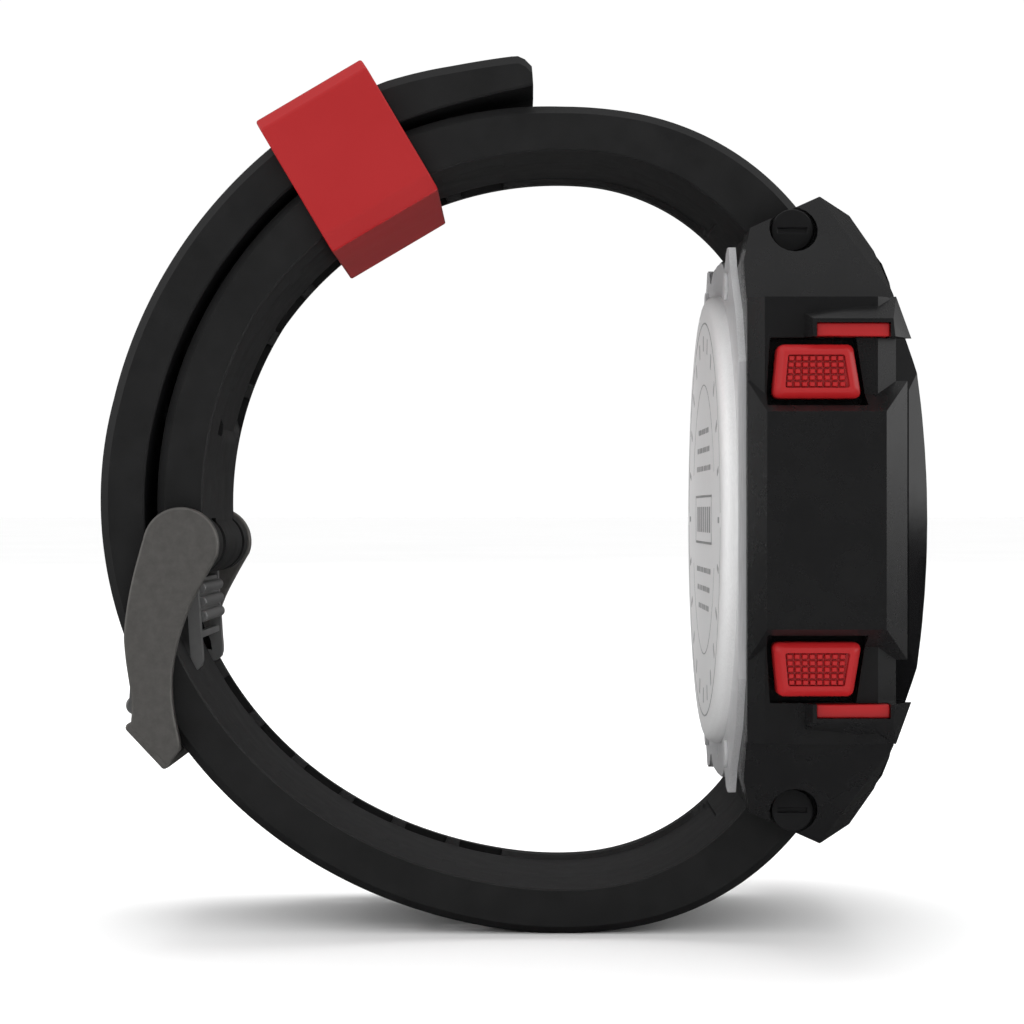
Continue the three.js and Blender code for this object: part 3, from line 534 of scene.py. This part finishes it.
def slot_tools(angles, name):
    """Round-cornered cutters for pairs of slots centred at these angles."""
    tools = []
    half_y, half_arc = SLOT_WIDTH / 2, SLOT_ARC / 2
    corners = [(-half_arc, -half_y), (half_arc, -half_y), (half_arc, half_y), (-half_arc, half_y)]
    outline = rounded(corners, 0.3, 3)
    for angle in angles:
        out, along = ring_axes(angle)
        for side in (-1, 1):
            loops = [[from_ring(out, along, r, a, side * SLOT_Y + y) for a, y in outline] for r in SLOT_TOOL_R]
            tools.append(loft("slot_tool", loops))
    return merge(name, tools)


def strap_upper():
    recess = (62, 166)
    loops = strap_loops(upper_inner_r, upper_outer_r, (LUG_INNER_ANGLE, 181), (LUG_OUTER_ANGLE, 181), recess, 1)
    band = loft("strap_upper_half", loops)
    combine(band, slot_tools(UPPER_SLOTS, "slots"), "DIFFERENCE")
    combine(band, rod_y("bore", 1.15, *LUG_PIN, -STRAP_Y - 1, STRAP_Y + 1, 32), "DIFFERENCE")
    centre = (PIVOT[0] + 0.45, PIVOT[1] + 0.03)
    knuckle = apply_modifiers(bevel(rod_y("knuckle", KNUCKLE_R, *centre, -STRAP_Y, STRAP_Y), 0.3, 2))
    gap = about_pin([(-3.3, 2.2), (-3.3, -4), (4, -4), (4, 2.2)])
    for shell in (band, knuckle):
        combine(shell, rod_y("bore", PIN_R + 0.1, *PIVOT, -STRAP_Y - 1, STRAP_Y + 1, 32), "DIFFERENCE")
        for y in (-SLOT_Y, SLOT_Y):
            combine(shell, side_prism("gap", gap, y - 0.9, y + 0.9), "DIFFERENCE")
    strap = merge("strap_upper_body", [band, knuckle])
    place(strap, ["strap_upper"], "strap_rubber", RUBBER, smooth=28)


def strap_lower():
    recess = (100, 298)
    spans = (360 - LUG_INNER_ANGLE, TAIL_TIP_ANGLE), (360 - LUG_OUTER_ANGLE, TAIL_TIP_ANGLE)
    loops = strap_loops(lower_inner_r, lower_outer_r, *spans, recess, -1)
    strap = loft("strap_lower_half", loops)
    combine(strap, slot_tools(LOWER_SLOTS, "slots"), "DIFFERENCE")
    combine(strap, rod_y("bore", 1.15, LUG_PIN[0], -LUG_PIN[1], -STRAP_Y - 1, STRAP_Y + 1, 32), "DIFFERENCE")
    place(strap, ["strap_lower"], "strap_rubber", RUBBER, smooth=28)


# ---------------------------------------------------------------- keeper


def keeper():
    """A loop of even section with wide chamfers, about the ring's centre."""
    out, along = ring_axes(KEEPER_ANGLE)

    def box_outline(half_y, low, high, corner_low, corner_high):
        return [(half_y, low + corner_low), (half_y, high - corner_high), (half_y - corner_high, high),
                (-half_y + corner_high, high), (-half_y, high - corner_high), (-half_y, low + corner_low),
                (-half_y + corner_low * 0.45, low), (half_y - corner_low * 0.45, low)]

    outer = box_outline(KEEPER_Y, *KEEPER_R, 1.5, 1.05)
    bore = box_outline(KEEPER_BORE_Y, *KEEPER_BORE_R, 0.4, 0.4)
    half = KEEPER_LENGTH / 2

    def at(points, shift):
        return [from_ring(out, along, r, shift, y) for y, r in points]

    loops = [at(outer, -half), at(outer, half), at(bore, half), at(bore, -half)]
    obj = bevel(loft("keeper_loop", loops, closed=True), 0.55, 5, 20)
    place(obj, ["strap_keeper"], "red_plastic", RED, smooth=40)


# ---------------------------------------------------------------- buckle


def plate_outline():
    """A side plate about the pin: round over the pin, waisted, and widening to the cross bar."""
    start, end, radius = math.radians(165), math.radians(-20), 3.1
    arc = [lerp(start, end, i / 40) for i in range(41)]
    head = [(0.1 + radius * math.cos(a), radius * math.sin(a)) for a in arc]
    right = [head[-1], (1.9, -3), (0.75, -5.3), (-0.2, -8.2), (-0.6, -10.8), (-0.5, -13.3), (0, -15.9)]
    left = [(-4, -14.9), (-3.9, -12.75), (-4.4, -9.2), (-4.5, -6.8), (-3.95, -3.2), head[0]]
    return [*head, *spline(right)[1:], (0.1, -16.7), (-1, -18.1), *spline(left)[:-1]]


def about_pin(outline):
    return [(PIVOT[0] + x, PIVOT[1] + z) for x, z in outline]


def buckle_frame():
    shells = []
    for side in (-1, 1):
        ys = sorted((side * FRAME_INNER_Y, side * FRAME_OUTER_Y))
        plate = side_prism("plate", about_pin(plate_outline()), *ys)
        # The plates' bevel faces take the second material, the painted edge highlight.
        shells.append(apply_modifiers(bevel(plate, 0.24, 3, 50, material=1)))
    bar_outline = [(-4.45, -15), (-4.3, -14.6), (-3.4, -14.25), (-0.5, -17.3), (-0.75, -18.1), (-1.3, -18.35)]
    end = FRAME_OUTER_Y - 0.04
    bar = side_prism("bar", about_pin(bar_outline), -end, end)
    shells.append(apply_modifiers(bevel(bar, 0.9, 6, 35)))
    obj = merge("buckle_body", shells)
    place(obj, ["buckle_frame"], "dark_steel", DARK_STEEL, EDGE_HIGHLIGHT_STEEL)


def strip(line, half, y0, y1, name):
    """A strip of even thickness along a line in X and Z about the pin."""
    outline = []
    for side in (1, -1):
        edge = []
        for i, point in enumerate(line):
            before, after = Vector(line[max(i - 1, 0)]), Vector(line[min(i + 1, len(line) - 1)])
            tangent = (after - before).normalized()
            edge.append((point[0] - side * half * tangent.y, point[1] + side * half * tangent.x))
        outline += edge if side > 0 else edge[::-1]
    return side_prism(name, about_pin(outline), y0, y1)


def buckle_tongue():
    turns = [math.radians(a) for a in (-86, -92, -98, -103, -107)]
    arc = [(PRONG_ARC_R * math.cos(a), PRONG_ARC_R * math.sin(a)) for a in turns]
    under = [(0.2, -0.9), (0.35, -3.3), (0.5, -5.7), (0.65, -8)]
    over = [(-3.85, -9.55), (-4.2, -10.4), (-4.3, -11.6), (-4.4, -13.4)]
    path = spline([*under, *arc, *over], 5)
    shells = []
    for side in (-1, 1):
        ys = sorted((side * (SLOT_Y - 0.6), side * (SLOT_Y + 0.6)))
        # Bevel faces of the prongs, eyes and end bar take the second material, the painted edge highlight.
        shells.append(bevel(strip(path, 0.5, *ys, "prong"), 0.18, 3, 40, material=1))
        tip = rod_y("tip", 0.8, PIVOT[0] - 4.4, PIVOT[1] - 13.5, ys[0] + 0.05, ys[1] - 0.05, 32)
        shells.append(bevel(tip, 0.2))
        shells.append(bevel(rod_y("eye", 1.5, *PIVOT, ys[0] - 0.1, ys[1] + 0.1, 48), 0.15, material=1))
    bridge = strip(spline([(0.33, -2.9), (0.45, -4.6), (0.55, -6.6)], 6), 0.4, -SLOT_Y, SLOT_Y, "bridge")
    shells.append(bevel(bridge, 0.15, 2))
    end_bar = strip([(0.62, -7.4), (0.66, -8)], 0.32, -SLOT_Y, SLOT_Y, "end_bar")
    shells.append(bevel(end_bar, 0.12, 2, material=1))
    for z in (-3.7, -4.9, -6.1):
        x = PIVOT[0] + 0.65 - z * 0.06
        shells.append(bevel(rod_y("rib", 0.5, x, PIVOT[1] + z, -SLOT_Y + 0.8, SLOT_Y - 0.8, 24), 0.15, 3))
    obj = merge("tongue_body", [apply_modifiers(shell) for shell in shells])
    place(obj, ["buckle_tongue"], "tongue_steel", TONGUE_STEEL, EDGE_HIGHLIGHT_STEEL)


# ---------------------------------------------------------------- buttons


def button_cap(corner, y_side, z_side):
    """A cap with a bevelled rim round a field of small square studs."""
    rows, columns = 5, 8
    foot = [(-3.4, -2.1), (3.5, -2.1), (2.8, 2.1), (-3, 2.1)]
    top = CAP_OUTER_Y
    levels = [(0.0, CAP_INNER_Y), (0.0, top - 0.75), (0.09, top - 0.5), (0.4, top - 0.09), (0.55, top),
              (0.72, top), (0.82, top - 0.06), (0.88, top - 0.34)]
    loops = []
    for distance, y in levels:
        outline = rounded(inset(foot, distance), max(0.18, 0.62 - distance * 0.5), 5)
        loops.append([(BUTTON_X + x, y, BUTTON_Z + z) for x, z in outline])
    shells = [loft("cap", loops)]
    pitch_x, pitch_z, half_x, half_z = 0.585, 0.5, 0.2, 0.17
    for row in range(rows):
        z = BUTTON_Z + (row - (rows - 1) / 2) * pitch_z
        for column in range(columns):
            x = BUTTON_X - 0.1 + (column - (columns - 1) / 2) * pitch_x * (1 - 0.02 * row)
            square = [(-half_x, -half_z), (half_x, -half_z), (half_x, half_z), (-half_x, half_z)]
            stud = [[(x + a * k, y, z + b * k) for a, b in square]
                    for k, y in ((1.15, top - 0.4), (1.05, top - 0.12), (0.8, top - 0.04))]
            shells.append(loft("stud", stud))
    obj = mirrored(merge("button_cap_shape_" + corner, shells), y_side, z_side)
    place(obj, ["button_cap_" + corner], "red_plastic", RED, smooth=30)


def button_spring(corner):
    """The coil under a cap, rounded, with a mesh of its own. On the watch it shortens towards its seat as the
    button goes in.
    """
    spring = refined("button_spring_" + corner, "spring_steel", 0.01, SPRING_STEEL, segments=1, angle=80)
    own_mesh(spring)


# ---------------------------------------------------------------- case, bezel and back


def turned_x(name, profile, sides=160):
    """A turned solid about the X axis; its profile lists (radius, x) and starts and ends on the axis."""
    ring = profile[1:-1]
    vertices = [(profile[0][1], 0, 0), (profile[-1][1], 0, 0)]
    for radius, x in ring:
        for i in range(sides):
            a = 2 * math.pi * i / sides
            vertices.append((x, radius * math.cos(a), radius * math.sin(a)))
    faces = []
    for i in range(sides):
        j = (i + 1) % sides
        faces.append((0, 2 + i, 2 + j))
        last = 2 + (len(ring) - 1) * sides
        faces.append((1, last + j, last + i))
        for level in range(len(ring) - 1):
            a, b = 2 + level * sides, 2 + (level + 1) * sides
            faces.append((a + i, b + i, b + j, a + j))
    return object_from(name, vertices, faces)


def battery_cover():
    profile = [(0, 0), (6, 0), (12, 0), (17.9, 0), (18.4, 0.02), (18.72, 0.1), (18.98, 0.25), (19.16, 0.45),
               (19.27, 0.66), (19.3, 0.9), (19.3, 1.2), (16.4, 1.2), (16.4, 1.98), (15.8, 1.98), (15.8, 2.62),
               (16.4, 2.62), (16.4, 3), (12.8, 3), (12.8, 2.1), (0, 2.1)]
    obj = turned_x("cover_disc", profile)
    # The cover takes the lighter steel copy, whose colour holds painted light.
    place(obj, ["battery_cover"], "brushed_steel", COVER_STEEL_PAINTED_LIGHT, smooth=40)


def flat_mark(name, y0, y1, z0, z1, xs):
    """A thin rectangular block across the X direction."""
    return loft(name, [[(x, y0, z0), (x, y1, z0), (x, y1, z1), (x, y0, z1)] for x in xs])


def etched_block(y0, y1, z0, z1):
    """A shallow mark on the cover's face."""
    return flat_mark("mark", y0, y1, z0, z1, ETCH_X)


def etched_arc(radius, width, start, end, steps):
    loops = []
    for i in range(steps + 1):
        a = math.radians(lerp(start, end, i / steps))
        c, s = math.cos(a), math.sin(a)
        low, high = ETCH_X
        section = [(low, radius), (low, radius + width), (high, radius + width), (high, radius)]
        loops.append([(x, r * c, r * s) for x, r in section])
    return loft("arc", loops)


def cover_marks():
    """Generic etching with no letters: rings, ticks, a panel and rows of dashes."""
    marks = [etched_arc(16.9, 0.14, 2, 178, 60), etched_arc(16.9, 0.14, 182, 358, 60)]
    for i in range(24):
        a = 15 * i
        marks.append(etched_arc(14.6, 1.3, a - 0.9, a + 0.9, 2))
    marks.append(etched_arc(11.6, 0.1, 20, 160, 40))
    marks.append(etched_arc(11.6, 0.1, 200, 340, 40))
    for z in (-2.1, 1.9):
        marks.append(etched_block(-8.5, 8.5, z, z + 0.2))
    for y in (-8.5, 8.3):
        marks.append(etched_block(y, y + 0.2, -2.1, 2.1))
    for i in range(7):
        marks.append(etched_block(-7.2 + i * 2.1, -6.0 + i * 2.1, -1.1, 1.1))
    for row, z in enumerate((4.2, 5.8, 7.4, -4.6, -6.2, -7.8)):
        count = 8 - row % 3
        for i in range(count):
            y = (i - (count - 1) / 2) * 1.9
            marks.append(etched_block(y - 0.7, y + 0.7 - 0.3 * (i % 2), z, z + 0.45))
    obj = merge("cover_etching", marks)
    obj.data.materials.append(ETCHED)
    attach(obj, BODY_OF["battery_cover"])


# Which bars of a seven-segment numeral are dark, in the order top, two right, bottom, two left, middle.
NUMERALS = {"0": "1111110", "1": "0110000", "2": "1101101", "3": "1111001", "4": "0110011", "5": "1011011",
            "6": "1011111", "7": "1110000", "8": "1111111", "9": "1111011"}


def numeral(figure, y, z, width, height, face_x):
    """One seven-segment figure with its middle at y, z, read from the front with 12 o'clock up."""
    bar, gap = width * 0.2, width * 0.05
    half_w, half_h = width / 2, height / 2
    across = (-half_w + bar * 0.6 + gap, half_w - bar * 0.6 - gap)
    shapes = [
        (*across, half_h - bar, half_h),
        (half_w - bar, half_w, gap, half_h - gap - bar * 0.5),
        (half_w - bar, half_w, -half_h + gap + bar * 0.5, -gap),
        (*across, -half_h, -half_h + bar),
        (-half_w, -half_w + bar, -half_h + gap + bar * 0.5, -gap),
        (-half_w, -half_w + bar, gap, half_h - gap - bar * 0.5),
        (*across, -bar / 2, bar / 2),
    ]
    made = []
    for (y0, y1, z0, z1), lit in zip(shapes, NUMERALS[figure]):
        if lit == "1":
            made.append(flat_mark("segment", y + y0, y + y1, z + z0, z + z1, (face_x - 0.02, face_x + 0.03)))
    return made


def display_figures():
    """Plain figures on the panel: a depth above and a time below."""
    face_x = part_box("lcd_panel")[1].x / MM
    shells = []
    for i, figure in enumerate("184"):
        shells += numeral(figure, -6.3 + i * 5.4 + (1.2 if i == 2 else 0), 4.2, 4.2, 7.4, face_x)
    for i, figure in enumerate("2735"):
        shells += numeral(figure, -6 + i * 3.6 + (1.0 if i > 1 else 0), -5.4, 2.7, 4.6, face_x)
    blocks = [(1.9, 2.6, 0.6, 1.3), (-0.55, 0.05, -4.7, -4.1), (-0.55, 0.05, -6.5, -5.9),
              (-9.6, 9.6, -1.35, -1.15)]
    for y0, y1, z0, z1 in blocks:
        shells.append(flat_mark("mark", y0, y1, z0, z1, (face_x - 0.02, face_x + 0.03)))
    obj = merge("display_figures", shells)
    obj.data.materials.append(SEGMENT)
    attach(obj, BODY_OF["lcd_panel"])


def build_object():
    refined("case_body", "case_plastic", 0.16, CASE)
    refined("front_bezel", "bezel_gloss", 0.18, GLOSS)
    refined("display_lens", "lens_glass", 0.15, GLASS)
    refined("back_plate", "brushed_steel", 0.12, STEEL)
    for corner, (y_side, z_side) in CORNERS.items():
        refined("accent_bar_" + corner, "red_plastic", 0.14, RED)
        refined("back_screw_" + corner, "brushed_steel", 0.1, STEEL)
        refined("lug_screw_" + corner, "dark_steel", 0.1, BLACKENED)
        button_cap(corner, y_side, z_side)
        button_spring(corner)
    battery_cover()
    cover_marks()
    display_figures()
    strap_upper()
    strap_lower()
    keeper()
    buckle_frame()
    buckle_tongue()
    paint_inner_nodes()


# ---------------------------------------------------------------- studio


def build_world():
    """White for the camera and for diffuse light, and a dark room with brighter sides in reflections."""
    world = bpy.data.worlds.new("studio")
    bpy.context.scene.world = world
    world.use_nodes = True
    nodes, links = world.node_tree.nodes, world.node_tree.links
    nodes.clear()
    direction = nodes.new("ShaderNodeTexCoord")
    parts = nodes.new("ShaderNodeSeparateXYZ")
    links.new(direction.outputs["Generated"], parts.inputs["Vector"])

    def node_math(operation, a, b=0.0):
        node = nodes.new("ShaderNodeMath")
        node.operation = operation
        for socket, value in zip(node.inputs, (a, b)):
            if isinstance(value, (int, float)):
                socket.default_value = value
            else:
                links.new(value, socket)
        return node.outputs[0]

    def glow(value, low, high, strength):
        node = nodes.new("ShaderNodeMapRange")
        node.interpolation_type = "SMOOTHSTEP"
        node.inputs["From Min"].default_value = low
        node.inputs["From Max"].default_value = high
        node.inputs["To Max"].default_value = strength
        links.new(value, node.inputs["Value"])
        return node.outputs["Result"]

    left = glow(node_math("MULTIPLY", parts.outputs["X"], -1), 0.45, 0.95, 0.5)
    right = glow(parts.outputs["X"], 0.5, 0.95, 0.85)
    behind = glow(parts.outputs["Y"], 0.1, 0.9, 0.03)
    above = glow(parts.outputs["Z"], 0.4, 0.9, 0.3)
    sides = node_math("ADD", left, right)
    level = node_math("ADD", node_math("ADD", sides, above), node_math("ADD", behind, 0.05))
    room = nodes.new("ShaderNodeBackground")
    links.new(level, room.inputs["Strength"])
    path = nodes.new("ShaderNodeLightPath")
    white = nodes.new("ShaderNodeBackground")
    white.inputs["Color"].default_value = (1, 1, 1, 1)
    links.new(node_math("ADD", 1.02, node_math("MULTIPLY", path.outputs["Is Diffuse Ray"], 0.23)),
              white.inputs["Strength"])
    room.inputs["Color"].default_value = (1, 1, 1, 1)
    soft = node_math("MAXIMUM", path.outputs["Is Camera Ray"], path.outputs["Is Diffuse Ray"])
    mix = nodes.new("ShaderNodeMixShader")
    links.new(soft, mix.inputs["Fac"])
    links.new(room.outputs["Background"], mix.inputs[1])
    links.new(white.outputs["Background"], mix.inputs[2])
    output = nodes.new("ShaderNodeOutputWorld")
    links.new(mix.outputs["Shader"], output.inputs["Surface"])


def build_floor():
    """A pale floor that reads as a dark one in reflections."""
    low = cad_box[0].z / MM
    reach = 15000
    corners = [(-reach, -reach, low), (reach, -reach, low), (reach, reach, low), (-reach, reach, low)]
    floor = object_from("floor", corners, [(0, 1, 2, 3)])
    paper = surface("floor_paper", (0.93, 0.93, 0.93), 0.85, grain=40, depth=0.01, shade=0.01, blotch=200,
                    specular=0.1)
    nodes, links = paper.node_tree.nodes, paper.node_tree.links
    path = nodes.new("ShaderNodeLightPath")
    dimmed = nodes.new("ShaderNodeBsdfDiffuse")
    dimmed.inputs["Color"].default_value = (0.03, 0.03, 0.03, 1)
    mix = nodes.new("ShaderNodeMixShader")
    links.new(path.outputs["Is Glossy Ray"], mix.inputs[0])
    links.new(nodes["Principled BSDF"].outputs["BSDF"], mix.inputs[1])
    links.new(dimmed.outputs["BSDF"], mix.inputs[2])
    links.new(mix.outputs["Shader"], nodes["Material Output"].inputs["Surface"])
    floor.data.materials.append(paper)


def build_light():
    data = bpy.data.lights.new("overhead", "AREA")
    data.shape = "DISK"
    data.size = 0.35
    data.energy = 1.1
    light = bpy.data.objects.new("overhead", data)
    light.location = (-0.02, 0.16, 0.42)
    light.rotation_euler = (Vector((0.0, 0.0, -0.03)) - light.location).to_track_quat("-Z", "Y").to_euler()
    light.visible_glossy = False
    bpy.context.scene.collection.objects.link(light)


def build_camera():
    data = bpy.data.cameras.new("camera")
    data.lens = 85
    data.sensor_width = 36
    data.clip_start = 0.005
    camera = bpy.data.objects.new("camera", data)
    camera.location = (-16.63 * MM, -210 * MM, 0.65 * MM)
    camera.rotation_euler = (math.radians(90), 0, 0)
    bpy.context.scene.collection.objects.link(camera)
    bpy.context.scene.camera = camera


build_object()
build_world()
build_floor()
build_light()
build_camera()
bpy.context.scene.view_settings.view_transform = "Standard"
